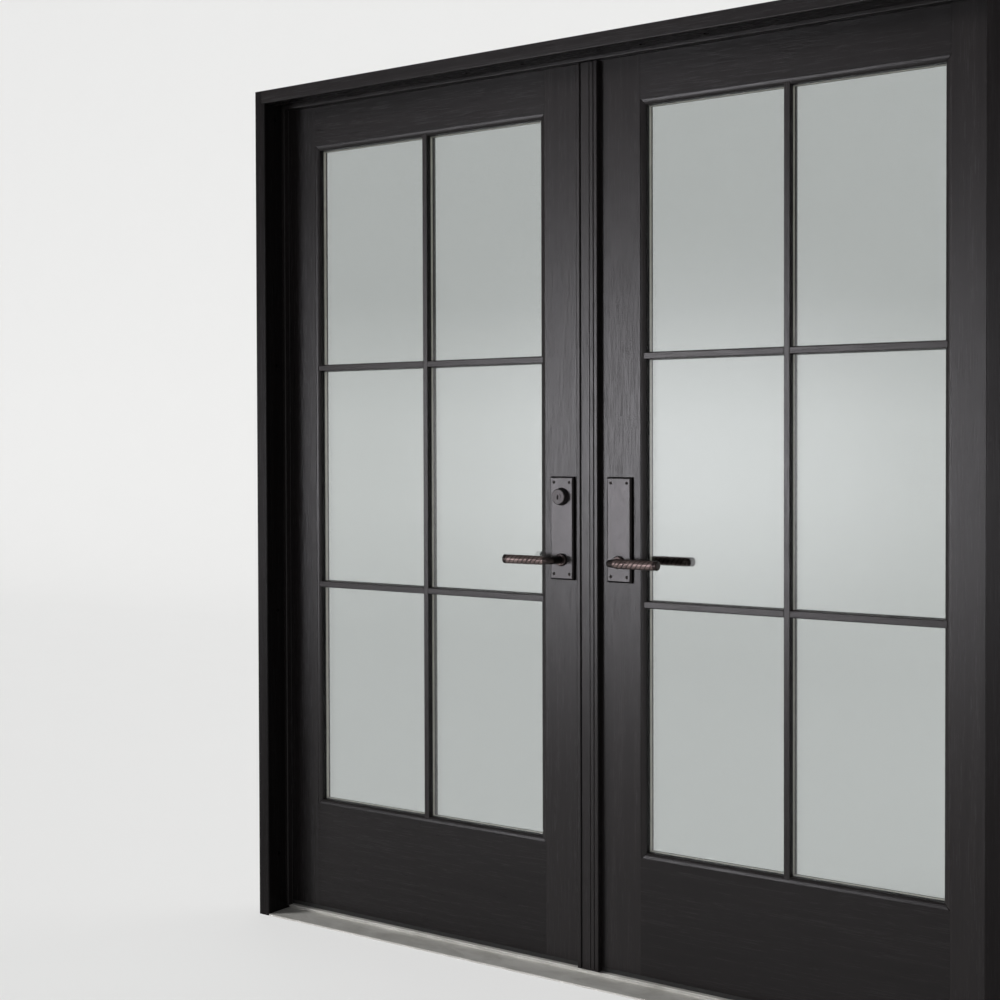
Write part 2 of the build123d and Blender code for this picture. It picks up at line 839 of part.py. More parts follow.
def make_plug():
    """The key plug with its keyway."""
    front = -plate_t - collar_l - plug_proud
    back = case_y - case_t / 2
    with BuildPart() as plug:
        start = (LEFT * spindle_u, front, cylinder_z)
        round_bar(start, (0, 1, 0), back - front, plug_r, mode=Mode.ADD)
        slot_u = about(spindle_u, keyway_w / 2)
        slot_z = about(cylinder_z - keyway_drop, keyway_h / 2)
        space(LEFT, slot_u, (front, front + keyway_d), slot_z)
    return plug.part


def make_thumbturn():
    """The tailpiece with its cam, the stem through the inner plate, and the turn."""
    back = case_y - case_t / 2
    rose_y = leaf_t + plate_t + guide_gap
    turn_y = rose_y + turn_rose_t
    axis = (0, 1, 0)
    with BuildPart() as turn:
        round_bar((LEFT * spindle_u, back, cylinder_z), axis, rose_y - back, tail_r, Mode.ADD)
        start = (LEFT * spindle_u, case_y - cam_t / 2, cylinder_z)
        round_bar(start, axis, cam_t, cam_r, mode=Mode.ADD)
        start = (LEFT * spindle_u, case_y + case_t / 2 + guide_gap, cylinder_z)
        round_bar(start, axis, rose_y - start[1], stem_r, mode=Mode.ADD)
        round_bar((LEFT * spindle_u, rose_y, cylinder_z), axis, turn_rose_t, turn_rose_r, Mode.ADD)
        with BuildSketch(facade(turn_y)):
            with Locations((LEFT * spindle_u, cylinder_z)):
                SlotOverall(turn_l, turn_t, rotation=90)
        extrude(amount=-turn_w)
    return turn.part


def make_lever(side, out):
    """A lever: a turned rose and neck, an elbow, and a straight round grip towards the hinges."""
    origin = (side * spindle_u, plate_faces[out], lever_z)
    draw = Plane(origin=origin, x_dir=(side, 0, 0), z_dir=(0, 0, side * out))
    rose_y = plate_t + guide_gap
    grip_end = lever_l - cap_l
    with BuildPart() as lever:
        with BuildSketch(draw):
            with BuildLine():
                Polyline(
                    (0, 0),
                    (hub_r, 0),
                    (hub_r, rose_y),
                    (rose_r, rose_y),
                    (rose_r, rose_y + rose_t - rose_edge),
                    (rose_r - rose_edge, rose_y + rose_t),
                    (neck_r, rose_y + rose_t),
                    (neck_r, lever_reach - elbow_r),
                    (0, lever_reach - elbow_r),
                    close=True,
                )
            make_face()
        revolve(axis=Axis(draw.origin, draw.y_dir))
        with BuildLine(draw) as bend:
            JernArc((0, lever_reach - elbow_r), (0, 1), elbow_r, -90)
        with BuildSketch(Plane(origin=bend.line @ 0, z_dir=bend.line % 0)):
            Circle(neck_r)
        sweep(path=bend.line)
        with BuildSketch(draw):
            with BuildLine():
                Polyline(
                    (elbow_r, lever_reach),
                    (elbow_r, lever_reach + neck_r),
                    (elbow_r + grip_swell, lever_reach + grip_r),
                    (grip_end, lever_reach + grip_end_r),
                    (grip_end, lever_reach + cap_r),
                    (lever_l - rose_edge, lever_reach + cap_r),
                    (lever_l, lever_reach + cap_r - rose_edge),
                    (lever_l, lever_reach),
                    close=True,
                )
            make_face()
        grip_axis = Axis(draw.from_local_coords((0, lever_reach, 0)), draw.x_dir)
        revolve(axis=grip_axis)
        socket_y = sorted((origin[1], origin[1] + out * (spindle_in + running)))
        half = spindle_w / 2 + running
        space(side, about(spindle_u, half), socket_y, about(lever_z, half))
    return lever.part


def make_spindle(side):
    """The square bar through both levers, with the follower that works the lock."""
    with BuildPart() as spindle:
        bar_y = (-spindle_in, leaf_t + spindle_in)
        half = spindle_w / 2
        space(side, about(spindle_u, half), bar_y, about(lever_z, half), mode=Mode.ADD)
        start = (side * spindle_u, case_y - follower_t / 2, lever_z)
        round_bar(start, (0, 1, 0), follower_t, follower_r, mode=Mode.ADD)
    return spindle.part


# The frame
core = make_substrate()
save(make_jamb(LEFT), "left_jamb")
save(make_jamb(RIGHT), "right_jamb")
save(make_head(), "head_jamb")
save(make_stops(), "door_stops")
save(make_weatherstrips(), "stop_weatherstrips")
save(core, "sill_substrate")
save(make_threshold(core), "threshold")
save(make_keepers(), "bolt_keepers")
save(make_hinge_leaves((LEFT, RIGHT), (jamb_u, jamb_u + hinge_t), 0), "jamb_hinge_leaves")
save(make_pins(), "hinge_pins")

# The leaves, with what both of them have
for side, leaf in ((LEFT, "active"), (RIGHT, "passive")):
    stiles = [
        save(make_hinge_stile(side), f"{leaf}_hinge_stile"),
        save(make_lock_stile(side), f"{leaf}_lock_stile"),
    ]
    rails = [
        save(make_rail(side, leaf_z, 1, bottom_rail_face, stiles), f"{leaf}_bottom_rail"),
        save(make_rail(side, leaf_top, -1, top_rail_face, stiles), f"{leaf}_top_rail"),
    ]
    beads = save(make_beads(side), f"{leaf}_glazing_beads")
    save(make_pane(side, glass_y), f"{leaf}_outer_pane")
    save(make_pane(side, inner_pane_y), f"{leaf}_inner_pane")
    save(make_spacer(side), f"{leaf}_spacer")
    save(make_bars(side, glass_y, OUTSIDE, stiles + rails), f"{leaf}_outer_bars")
    save(make_bars(side, room_glass_y, INSIDE, [beads]), f"{leaf}_inner_bars")
    save(make_sweep(side), f"{leaf}_sweep")
    save(make_hinge_leaves((side,), (hinge_u - hinge_t, hinge_u), 1), f"{leaf}_hinge_leaves")
    save(make_lock_case(side), f"{leaf}_lock_case")
    save(make_plate(side, OUTSIDE), f"{leaf}_outer_plate")
    save(make_plate(side, INSIDE), f"{leaf}_inner_plate")
    save(make_lever(side, OUTSIDE), f"{leaf}_outer_lever")
    save(make_lever(side, INSIDE), f"{leaf}_inner_lever")
    save(make_spindle(side), f"{leaf}_spindle")

# What only one leaf has
save(make_wide_astragal(), "active_astragal")
save(make_narrow_astragal(), "passive_astragal")
save(make_edge_seal(), "active_edge_seal")
save(make_housing(), "key_cylinder")
save(make_plug(), "key_plug")
save(make_thumbturn(), "thumbturn")
save(make_tongue(), "latch_tongue")
save(make_deadbolt(), "deadbolt")
save(make_rod(case_z1 - rod_reach, leaf_top), "top_shoot_bolt")
save(make_rod(threshold_h + rod_sill_gap, case_z0 + rod_reach), "bottom_shoot_bolt")
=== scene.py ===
import math
import bmesh
import bpy
from mathutils import Matrix, Vector


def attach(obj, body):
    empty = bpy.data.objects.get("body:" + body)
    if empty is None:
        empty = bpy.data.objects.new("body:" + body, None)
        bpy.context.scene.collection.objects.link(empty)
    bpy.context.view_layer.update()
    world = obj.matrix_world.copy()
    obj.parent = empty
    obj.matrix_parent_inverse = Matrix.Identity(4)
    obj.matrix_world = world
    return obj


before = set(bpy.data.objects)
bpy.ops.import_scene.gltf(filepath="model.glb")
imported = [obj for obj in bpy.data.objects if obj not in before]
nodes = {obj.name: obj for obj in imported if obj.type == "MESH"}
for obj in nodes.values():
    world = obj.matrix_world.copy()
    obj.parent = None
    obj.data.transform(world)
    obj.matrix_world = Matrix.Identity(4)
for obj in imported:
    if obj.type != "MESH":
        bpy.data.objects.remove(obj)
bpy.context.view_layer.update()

# Sizes in metres, the same as the part's own. Names in u are measured out from the centre line.
leaf_t = 0.0445
lock_u = 0.005
hinge_u = 0.912
jamb_u = 0.9145
head_z = 2.0105
stop_t = 0.009
light_u0, light_u1 = 0.138, 0.805
light_z0, light_z1 = 0.292, 1.892
bar_w = 0.0175
spindle_u = 0.075
lever_z = 0.91465
cylinder_z = 1.05435
keyway_drop = 0.0015
plate_mid_z = 0.9845
plate_w, plate_h, plate_t, plate_edge = 0.062, 0.2286, 0.009, 0.0035
hinge_z = (0.2795, 1.0545, 1.8295)
lever_reach = 0.052
grip_r, grip_end_r = 0.0087, 0.0096

# Sizes of what only this scene has
grip_start, grip_end = 0.016, 0.117
grip_strands, grip_pitch = 4, 0.046
grip_skin, grip_relief, grip_crest_r = 0.00008, 0.0012, 0.01015
grip_lobe_power = 0.7
neck_share, tip_share = 0.12, 0.05
plate_screw_u, plate_screw_dz = 0.0205, 0.1015
plate_screw_r, plate_screw_h = 0.0034, 0.0015
hinge_screw_r, hinge_screw_h = 0.0042, 0.0006
hinge_screw_places = ((-0.041, 0.022), (-0.015, 0.031), (0.015, 0.031), (0.041, 0.022))
fin_z0, fin_z1 = 0.0256, 2.0074
fin_root_u = lock_u + 0.00002
fin_section = ((fin_root_u, 0.0003), (0.0029, 0.00045), (0.0022, 0.0006), (0.00212, 0.0009),
               (0.0022, 0.0012), (0.0029, 0.00135), (fin_root_u, 0.0016))

# Where colours change on a piece, and where shade is painted
seal_and_shade_y = 0.0190
rim_fade = 0.0012
keyway_shade_u, keyway_shade_z = 0.0030, 0.0062

# Scales of the wood's figure, pores and tone, for grain along x and along z, and its stains
grain_scales = {"x": ((2.2, 60, 60), (14, 620, 620), (1.1, 14, 14)),
                "z": ((60, 60, 2.2), (620, 620, 14), (14, 14, 1.1))}
stain_tones = ((0.0110, 0.0094, 0.0097), (0.0160, 0.0138, 0.0142), (0.0200, 0.0164, 0.0166))
pore_tone = (0.0045, 0.0040, 0.0043)


class Tree:
    """Adds and links the nodes of one shader tree."""

    def __init__(self, tree):
        self.tree = tree

    def add(self, kind, **props):
        made = self.tree.nodes.new(kind)
        for key, value in props.items():
            setattr(made, key, value)
        return made

    def link(self, source, target):
        self.tree.links.new(source, target)

    def put(self, socket, value):
        if isinstance(value, bpy.types.NodeSocket):
            self.link(value, socket)
        else:
            socket.default_value = value

    def math(self, operation, a, b=0.0, c=None, clamp=False):
        made = self.add("ShaderNodeMath", operation=operation, use_clamp=clamp)
        for socket, value in zip(made.inputs, (a, b, c)):
            if value is not None:
                self.put(socket, value)
        return made.outputs[0]

    def ramp(self, value, stops):
        made = self.add("ShaderNodeValToRGB")
        band = made.color_ramp
        while len(band.elements) < len(stops):
            band.elements.new(0.5)
        for element, (place, colour) in zip(band.elements, stops):
            element.position = place
            element.color = (colour, colour, colour, 1) if isinstance(colour, float) else (*colour, 1)
        self.put(made.inputs[0], value)
        return made.outputs[0]

    def mix_shader(self, factor, a, b):
        made = self.add("ShaderNodeMixShader")
        for socket, source in zip(made.inputs, (factor, a, b)):
            self.link(source, socket)
        return made.outputs[0]

    def showing(self, path):
        """1 for the rays that show what they meet: straight, through glass or in a reflection."""
        direct = self.math("MAXIMUM", path["Is Camera Ray"], path["Is Transmission Ray"])
        return self.math("MAXIMUM", direct, path["Is Glossy Ray"])


# Each material is built from nodes over object coordinates, which are the part's own metres.
class Shader(Tree):
    """One material."""

    def __init__(self, name):
        self.mat = bpy.data.materials.new(name)
        self.mat.use_nodes = True
        super().__init__(self.mat.node_tree)
        self.bsdf = self.tree.nodes["Principled BSDF"]
        self.coord = self.add("ShaderNodeTexCoord").outputs["Object"]

    def axes(self):
        split = self.add("ShaderNodeSeparateXYZ")
        self.link(self.coord, split.inputs[0])
        return split.outputs

    def stretched(self, scale):
        made = self.add("ShaderNodeMapping")
        made.inputs["Scale"].default_value = scale
        self.link(self.coord, made.inputs["Vector"])
        return made.outputs[0]

    def noise(self, vector, detail=2.0, rough=0.5, distort=0.0):
        made = self.add("ShaderNodeTexNoise")
        self.link(vector, made.inputs["Vector"])
        made.inputs["Scale"].default_value = 1.0
        made.inputs["Detail"].default_value = detail
        made.inputs["Roughness"].default_value = rough
        made.inputs["Distortion"].default_value = distort
        return made.outputs[0]

    def mix(self, factor, a, b):
        made = self.add("ShaderNodeMix", data_type="RGBA")
        self.put(made.inputs[0], factor)
        self.put(made.inputs[6], (*a, 1) if isinstance(a, tuple) else a)
        self.put(made.inputs[7], (*b, 1) if isinstance(b, tuple) else b)
        return made.outputs[2]

    def mix_value(self, factor, a, b):
        made = self.add("ShaderNodeMix", data_type="FLOAT")
        self.link(factor, made.inputs[0])
        self.link(a, made.inputs[2])
        self.link(b, made.inputs[3])
        return made.outputs[0]

    def bump(self, height, strength, distance, normal=None):
        made = self.add("ShaderNodeBump")
        made.inputs["Strength"].default_value = strength
        made.inputs["Distance"].default_value = distance
        self.link(height, made.inputs["Height"])
        if normal is not None:
            self.link(normal, made.inputs["Normal"])
        return made.outputs[0]

    def rounded(self, radius):
        made = self.add("ShaderNodeBevel", samples=4)
        made.inputs["Radius"].default_value = radius
        return made.outputs[0]

    def finish(self, colour, rough, metal=0.0, normal=None, **sockets):
        self.put(self.bsdf.inputs["Base Color"], colour)
        self.put(self.bsdf.inputs["Roughness"], rough)
        self.bsdf.inputs["Metallic"].default_value = metal
        if normal is not None:
            self.link(normal, self.bsdf.inputs["Normal"])
        for key, value in sockets.items():
            self.bsdf.inputs[key.replace("_", " ")].default_value = value
        return self.mat

    def surface(self, source):
        self.link(source, self.tree.nodes["Material Output"].inputs["Surface"])


def wood(name, along, stain_and_light_level, gloss=0.5):
    """Dark espresso stained wood under satin lacquer. along is "x" or "z", or a function that picks
    between them. Its level scales the stain's colours, and so paints light and shade: one stain made lighter or
    darker where the light falls differently on a part. gloss scales the lacquer's reflection."""
    s = Shader(name)

    def layers(kind):
        broad, fine, soft = grain_scales[kind]
        return (s.noise(s.stretched(broad), 3.0, 0.55, 0.6), s.noise(s.stretched(fine), 2.0, 0.6, 0.2),
                s.noise(s.stretched(soft), 2.0, 0.5, 0.3))

    if callable(along):
        upright = along(s)
        figure, pores, stain = (s.mix_value(upright, a, b) for a, b in zip(layers("x"), layers("z")))
    else:
        figure, pores, stain = layers(along)
    streak = s.ramp(figure, [(0.35, 0.0), (0.68, 1.0)])
    pit = s.ramp(pores, [(0.36, 0.0), (0.50, 1.0)])
    dark, light, warm = (tuple(stain_and_light_level * part for part in tone) for tone in stain_tones)
    toned = s.mix(s.math("MULTIPLY", stain, 0.50), s.mix(streak, dark, light), warm)
    pored = s.math("MULTIPLY", s.math("SUBTRACT", 1.0, pit), 0.45)
    level = s.math("ADD", s.math("MULTIPLY", pit, 0.8), s.math("MULTIPLY", figure, 0.6))
    normal = s.bump(level, 0.20, 0.00025, s.rounded(0.0009))
    rough = s.math("ADD", s.math("MULTIPLY", figure, 0.09), 0.235)
    rough = s.math("SUBTRACT", rough, s.math("MULTIPLY", pit, 0.03))
    return s.finish(s.mix(pored, toned, pore_tone), rough, 0.0, normal, IOR=1.30, Specular_IOR_Level=gloss)


def off_middle(s, value, middle):
    """How far the value lies from the middle."""
    return s.math("ABSOLUTE", s.math("SUBTRACT", value, middle))


def bar_direction(s):
    """Upright in the middle bar, level in the short ones."""
    off = off_middle(s, s.math("ABSOLUTE", s.axes()[0]), (light_u0 + light_u1) / 2)
    return s.math("LESS_THAN", off, bar_w / 2 + 0.0001)


def bead_direction(s):
    """Upright at the sides of the glass, level at its top and foot."""
    x, _, z = s.axes()
    side_off = off_middle(s, s.math("ABSOLUTE", x), (light_u0 + light_u1) / 2)
    side_gap = s.math("SUBTRACT", (light_u1 - light_u0) / 2, side_off)
    end_off = off_middle(s, z, (light_z0 + light_z1) / 2)
    end_gap = s.math("SUBTRACT", (light_z1 - light_z0) / 2, end_off)
    return s.math("LESS_THAN", side_gap, end_gap)


def stop_direction(s):
    """Upright at the sides, level at the head."""
    return s.math("LESS_THAN", s.axes()[2], head_z - stop_t)


def glass(name):
    """Clear float glass, a little wavy, that lets light through to what is behind it."""
    s = Shader(name)
    wave = s.noise(s.stretched((3.2, 3.2, 2.4)), 1.5, 0.4, 0.3)
    normal = s.bump(wave, 0.30, 0.0015)
    s.finish((0.73, 0.75, 0.745, 1), 0.0, 0.0, normal, IOR=1.60, Transmission_Weight=1.0)
    clear = s.add("ShaderNodeBsdfTransparent")
    clear.inputs["Color"].default_value = (0.88, 0.90, 0.89, 1)
    path = s.add("ShaderNodeLightPath").outputs
    lighting = s.math("MAXIMUM", path["Is Shadow Ray"], path["Is Diffuse Ray"])
    s.surface(s.mix_shader(lighting, s.bsdf.outputs[0], clear.outputs[0]))
    return s.mat


def plate_rim_shade(s):
    """1 on a plate's bevelled rim, where shade is painted on it."""
    x, _, z = s.axes()
    off_side = s.math("SUBTRACT", off_middle(s, s.math("ABSOLUTE", x), spindle_u), plate_w / 2 - plate_edge)
    off_end = s.math("SUBTRACT", off_middle(s, z, plate_mid_z), plate_h / 2 - plate_edge)
    return s.math("MULTIPLY", s.math("MAXIMUM", off_side, off_end), 1 / rim_fade, clamp=True)


def grip_valley(s):
    """1 between the strands of a twisted grip: the dark patina of the hollows there, with painted shade that
    marks the twist.
    """
    x, y, z = s.axes()
    inside = s.math("GREATER_THAN", y, leaf_t / 2)
    off = s.math("SUBTRACT", s.math("ADD", y, lever_reach),
                 s.math("MULTIPLY", inside, leaf_t + 2 * lever_reach))
    angle = s.math("ARCTAN2", s.math("SUBTRACT", z, lever_z), off)
    start = s.math("MULTIPLY", s.math("SIGN", x), spindle_u + grip_start)
    turn = s.math("MULTIPLY", s.math("SUBTRACT", x, start), 2 * math.pi / grip_pitch)
    spun = s.math("MULTIPLY", s.math("ADD", angle, turn), grip_strands / 2)
    lobe = s.math("ABSOLUTE", s.math("COSINE", spun))
    return s.math("SUBTRACT", 1.0, s.math("MULTIPLY", lobe, 1.5, clamp=True))


def keyway_shade(s):
    """1 round the keyway, where a painted shade stands for the dark keyhole, wider than the slot."""
    x, _, z = s.axes()
    off_x = s.math("MULTIPLY", s.math("ADD", x, spindle_u), 1 / keyway_shade_u)
    off_z = s.math("MULTIPLY", s.math("SUBTRACT", z, cylinder_z - keyway_drop), 1 / keyway_shade_z)
    away = s.math("ADD", s.math("MULTIPLY", off_x, off_x), s.math("MULTIPLY", off_z, off_z))
    return s.math("SUBTRACT", 1.6, away, clamp=True)


def seal_and_shade(s):
    """1 on the spacer's edge by the outer pane, painted black: a seal, and painted shade standing for the dark
    reflection beside the sticking.
    """
    return s.math("LESS_THAN", s.axes()[1], seal_and_shade_y)


def bronze(name, light, dark, rough, shade=None):
    """Oil-rubbed bronze: a dark patina, brighter where it is handled. shade marks where shade is painted dark on
    it.
    """
    s = Shader(name)
    cloud = s.noise(s.stretched((38, 38, 38)), 4.0, 0.6, 0.4)
    speck = s.noise(s.stretched((900, 900, 900)), 2.0, 0.5)
    colour = s.mix(s.ramp(cloud, [(0.38, 0.0), (0.70, 1.0)]), dark, light)
    colour = s.mix(s.math("MULTIPLY", speck, 0.25), colour, (0.010, 0.008, 0.007))
    # Painted shade: the colour goes almost black where shade marks it.
    if shade is not None:
        colour = s.mix(s.math("MULTIPLY", shade(s), 0.92), colour, (0.012, 0.010, 0.010))
    level = s.math("ADD", speck, s.math("MULTIPLY", cloud, 1.5))
    normal = s.bump(level, 0.18, 0.0003, s.rounded(0.0005))
    return s.finish(colour, s.math("ADD", s.math("MULTIPLY", cloud, 0.20), rough - 0.10), 0.85, normal)


def metal(name, light, dark, rough, along, metallic=1.0, shade=None):
    """Drawn or rolled metal with faint streaks along one direction. shade marks where it is black."""
    s = Shader(name)
    lines = s.noise(s.stretched({"x": (5, 1400, 1400), "z": (1400, 1400, 5)}[along]), 2.0, 0.6)
    dirt = s.noise(s.stretched((9, 22, 22)), 5.0, 0.65, 0.5)
    colour = s.mix(s.ramp(dirt, [(0.40, 0.0), (0.72, 1.0)]), light, dark)
    # Painted black where shade marks it: a seal, and painted shade.
    if shade is not None:
        colour = s.mix(shade(s), colour, (0.006, 0.006, 0.006))
    normal = s.bump(lines, 0.10, 0.0002, s.rounded(0.0006))
    return s.finish(colour, s.math("ADD", s.math("MULTIPLY", lines, 0.12), rough), metallic, normal)


def moulded(name, light, dark, rough, scale, depth):
    """Rubber or composite with a fine moulded surface."""
    s = Shader(name)
    spot = s.noise(s.stretched((scale, scale, scale)), 3.0, 0.6)
    broad = s.noise(s.stretched((12, 12, 12)), 3.0, 0.5)
    normal = s.bump(spot, 0.35, depth)
    return s.finish(s.mix(broad, dark, light), s.math("ADD", s.math("MULTIPLY", spot, 0.15), rough), 0.0, normal)


# The same stain at different levels, as painted light and shade: the rails, head and jambs are painted darker,
# and the astragal, bars, beads and stops lighter, for how the light falls on each part.
wood_up = wood("wood_upright", "z", 0.85)
wood_moulded = wood("wood_moulded", "z", 0.90)
wood_level = wood("wood_level", "x", 0.62, 0.42)
wood_frame = wood("wood_frame", "z", 0.48, 0.20)
wood_head = wood("wood_head", "x", 0.75, 0.40)
wood_bars = wood("wood_bars", bar_direction, 1.1)
wood_beads = wood("wood_beads", bead_direction, 1.0)
wood_stops = wood("wood_stops", stop_direction, 1.1)
pane_glass = glass("pane_glass")
plate_bronze = bronze("plate_bronze", (0.072, 0.070, 0.071), (0.054, 0.052, 0.053), 0.36, plate_rim_shade)
lever_bronze = bronze("lever_bronze", (0.060, 0.045, 0.042), (0.020, 0.016, 0.016), 0.32)
grip_bronze = bronze("grip_bronze", (0.29, 0.22, 0.208), (0.15, 0.110, 0.104), 0.34, grip_valley)
collar_bronze = bronze("collar_bronze", (0.078, 0.074, 0.075), (0.050, 0.046, 0.047), 0.40)
hinge_bronze = bronze("hinge_bronze", (0.060, 0.050, 0.045), (0.030, 0.026, 0.024), 0.38)
screw_bronze = bronze("screw_bronze", (0.050, 0.042, 0.038), (0.020, 0.017, 0.016), 0.34)
sill_metal = metal("sill_metal", (0.66, 0.65, 0.62), (0.46, 0.45, 0.42), 0.46, "x", 0.35)
bolt_steel = metal("bolt_steel", (0.50, 0.50, 0.51), (0.36, 0.35, 0.34), 0.26, "x")
rod_steel = metal("rod_steel", (0.50, 0.50, 0.51), (0.36, 0.35, 0.34), 0.26, "z")
spacer_metal = metal("spacer_metal", (0.66, 0.62, 0.55), (0.54, 0.50, 0.44), 0.40, "z", 0.5, seal_and_shade)
plug_bronze = bronze("plug_bronze", (0.074, 0.070, 0.071), (0.046, 0.043, 0.044), 0.38, keyway_shade)
seal_rubber = moulded("seal_rubber", (0.022, 0.022, 0.022), (0.010, 0.010, 0.010), 0.60, 700, 0.0004)
sill_core = moulded("sill_core", (0.115, 0.100, 0.085), (0.060, 0.052, 0.045), 0.62, 420, 0.0008)

finishes = {
    "left_jamb": wood_frame, "right_jamb": wood_frame, "head_jamb": wood_head, "door_stops": wood_stops,
    "stop_weatherstrips": seal_rubber, "sill_substrate": sill_core, "threshold": sill_metal,
    "bolt_keepers": bolt_steel, "jamb_hinge_leaves": hinge_bronze, "hinge_pins": hinge_bronze,
    "active_edge_seal": seal_rubber, "key_cylinder": collar_bronze, "key_plug": plug_bronze,
    "thumbturn": lever_bronze, "latch_tongue": bolt_steel, "deadbolt": bolt_steel,
    "top_shoot_bolt": rod_steel, "bottom_shoot_bolt": rod_steel,
}
leaf_finishes = {
    "hinge_stile": wood_up, "lock_stile": wood_up, "bottom_rail": wood_level, "top_rail": wood_level,
    "glazing_beads": wood_beads, "outer_pane": pane_glass, "inner_pane": pane_glass, "spacer": spacer_metal,
    "outer_bars": wood_bars, "inner_bars": wood_bars, "sweep": seal_rubber, "hinge_leaves": hinge_bronze,
    "lock_case": bolt_steel, "outer_plate": plate_bronze, "inner_plate": plate_bronze,
    "astragal": wood_moulded, "outer_lever": lever_bronze, "inner_lever": lever_bronze, "spindle": bolt_steel,
}
leaves = (("active", -1), ("passive", 1))
for leaf, _ in leaves:
    for word, finish in leaf_finishes.items():
        finishes[f"{leaf}_{word}"] = finish
for name, thing in nodes.items():
    thing.data.materials.clear()
    thing.data.materials.append(finishes[name])


def bridge(bm, rows, closed=True):
    """Faces between each row of vertices and the next."""
    for low, high in zip(rows, rows[1:]):
        for at in range(len(low) if closed else len(low) - 1):
            after = (at + 1) % len(low)
            bm.faces.new((low[at], low[after], high[after], high[at]))


def put_in_scene(name, data):
    made = bpy.data.objects.new(name, data)
    bpy.context.scene.collection.objects.link(made)
    return made


def made_mesh(name, bm, smooth):
    """Turns what was built into a mesh. smooth says which of its faces are shaded smooth."""
    mesh = bpy.data.meshes.new(name)
    bm.to_mesh(mesh)
    bm.free()
    for face in mesh.polygons:
        face.use_smooth = smooth(face)
    return mesh


def piece(name, mesh, finish, body):
    """Puts a finished mesh into the scene as a piece that rides on a body."""
    made = put_in_scene(name, mesh)
    made.data.materials.append(finish)
    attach(made, body)


def screw_heads(name, spots, radius, height, finish, body):
    """Domed screw heads with a cross recess. Each spot is a place, the way the head faces and its turn."""
    bm = bmesh.new()
    rings, around = 6, 28
    dome_part = 0.97
    arm_half_w, arm_reach, arm_drop = radius * 0.16, radius * 0.62, height * 0.55
    for place, facing, spin in spots:
        turn = Vector(facing).to_track_quat("Z", "Y").to_matrix().to_4x4() @ Matrix.Rotation(spin, 4, "Z")
        put = Matrix.Translation(place) @ turn
        rows = []
        for ring in range(rings + 1):
            share = ring / rings
            r = radius * math.cos(share * math.pi / 2 * dome_part)
            row = []
            for step in range(around):
                angle = 2 * math.pi * step / around
                x, y = r * math.cos(angle), r * math.sin(angle)
                z = height * math.sin(share * math.pi / 2)
                if min(abs(x), abs(y)) < arm_half_w and max(abs(x), abs(y)) < arm_reach:
                    z -= arm_drop
                row.append(bm.verts.new(put @ Vector((x, y, z))))
            rows.append(row)
        bridge(bm, rows)
        bm.faces.new(rows[-1])
    piece(name, made_mesh(name, bm, lambda face: True), finish, body)


# Plate screws, four to a plate. Each is turned a little differently.
for leaf, side in leaves:
    spots = []
    for at, (y, facing) in enumerate(((-plate_t, -1), (leaf_t + plate_t, 1))):
        for dz in (-plate_screw_dz, plate_screw_dz):
            for du in (-plate_screw_u, plate_screw_u):
                spin = 0.4 + 1.7 * at + 9.0 * dz + 31.0 * du
                spots.append(((side * (spindle_u + du), y, plate_mid_z + dz), (0, facing, 0), spin))
    screw_heads(f"{leaf}_plate_screws", spots, plate_screw_r, plate_screw_h, screw_bronze,
                f"{leaf}_leaf")

# Hinge screws, four in each plate, seen when a leaf stands open
frame_spots = []
for leaf, side in leaves:
    leaf_spots = []
    for z in hinge_z:
        for dz, y in hinge_screw_places:
            spin = 0.3 + 40.0 * dz + 2.0 * z
            frame_spots.append(((side * jamb_u, y, z + dz), (-side, 0, 0), spin))
            leaf_spots.append(((side * hinge_u, y, z + dz), (side, 0, 0), spin))
    screw_heads(f"{leaf}_hinge_screws", leaf_spots, hinge_screw_r, hinge_screw_h, screw_bronze,
                f"{leaf}_leaf")
screw_heads("jamb_hinge_screws", frame_spots, hinge_screw_r, hinge_screw_h, screw_bronze,
            "frame")

# A fin seal on the passive leaf's edge, which closes the sight line through the astragal's seam.
# It is a section in x and y, drawn up over the leaf's height.
bm = bmesh.new()
foot, top = ([bm.verts.new((x, y, z)) for x, y in fin_section] for z in (fin_z0, fin_z1))
bridge(bm, (foot, top))
bm.faces.new(foot)
bm.faces.new(top)
bmesh.ops.recalc_face_normals(bm, faces=bm.faces)
fin = made_mesh("passive_seam_seal", bm, lambda face: False)
piece("passive_seam_seal", fin, seal_rubber, "passive_leaf")


def twisted_grip(name, side, y, body):
    """A twist over the lever's grip, faded out into plain necks at both ends."""
    bm = bmesh.new()
    along, around = 200, 72
    rows = []
    for step in range(along + 1):
        share = step / along
        u = grip_start + share * (grip_end - grip_start)
        bare_r = grip_r + (grip_end_r - grip_r) * share
        fade = min(1.0, share / neck_share, (1 - share) / tip_share)
        fade = fade * fade * (3 - 2 * fade)
        turn = side * 2 * math.pi * (u - grip_start) / grip_pitch
        row = []
        for spoke in range(around):
            angle = 2 * math.pi * spoke / around
            lobe = abs(math.cos(grip_strands / 2 * (angle + turn))) ** grip_lobe_power
            r = min(bare_r + grip_skin + fade * grip_relief * lobe, grip_crest_r)
            place = (side * (spindle_u + u), y + r * math.cos(angle), lever_z + r * math.sin(angle))
            row.append(bm.verts.new(place))
        rows.append(row)
    bridge(bm, rows)
    bm.faces.new(rows[0])
    bm.faces.new(rows[-1])
    bmesh.ops.recalc_face_normals(bm, faces=bm.faces)
    mesh = made_mesh(name, bm, lambda face: len(face.vertices) == 4)
    piece(name, mesh, grip_bronze, body)


for leaf, side in leaves:
    twisted_grip(f"{leaf}_outer_grip", side, -lever_reach, f"{leaf}_lever")
    twisted_grip(f"{leaf}_inner_grip", side, leaf_t + lever_reach, f"{leaf}_lever")

